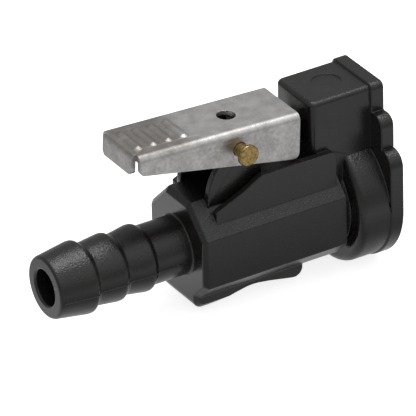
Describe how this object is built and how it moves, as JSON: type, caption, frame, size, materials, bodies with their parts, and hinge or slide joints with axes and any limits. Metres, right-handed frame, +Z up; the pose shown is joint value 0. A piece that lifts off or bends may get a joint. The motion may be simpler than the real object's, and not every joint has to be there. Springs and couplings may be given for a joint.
{
  "type": "quick disconnect coupling",
  "caption": "Moulded plastic quick disconnect coupling with a barbed hose tail, a valved socket and a stamped metal latch lever that locks a parallel guide pin.",
  "frame": {"origin": "centre of the socket's mouth, in the mating face", "axes": "+X along the socket, out of its mouth; +Z up towards the latch lever; the hose tail points along -X"},
  "size_m": [0.0578, 0.022, 0.0319],
  "materials": {
    "black_nylon": "moulded, semi-gloss, fine texture",
    "stainless_sheet": "stamped, satin",
    "brass": "turned",
    "spring_wire": "drawn wire",
    "acetal": "moulded",
    "nitrile": "moulded rubber"
  },
  "bodies": {
    "body": {"coupling_body": "black_nylon", "pivot_pin": "brass", "lever_spring": "spring_wire", "seal_retainer": "acetal", "socket_seal": "nitrile", "valve_seat": "acetal", "valve_spring": "spring_wire"},
    "lever": {"latch_lever": "stainless_sheet"},
    "poppet": {"valve_poppet": "acetal", "poppet_seal": "nitrile"}
  },
  "joints": [
    {"name": "lever_press", "type": "hinge", "parent": "body", "child": "lever", "pos_m": [-0.026, 0, 0.01665], "axis": [0, -1, 0], "range_deg": [0, 12], "stiffness_Nm_per_rad": 0.06, "springref_deg": -20.05, "deforming": ["lever_spring"]},
    {"name": "valve_push", "type": "slide", "parent": "body", "child": "poppet", "axis": [-1, 0, 0], "range_m": [0, 0.0032], "stiffness_N_per_m": 100, "springref_m": -0.006, "deforming": ["valve_spring"]}
  ]
}
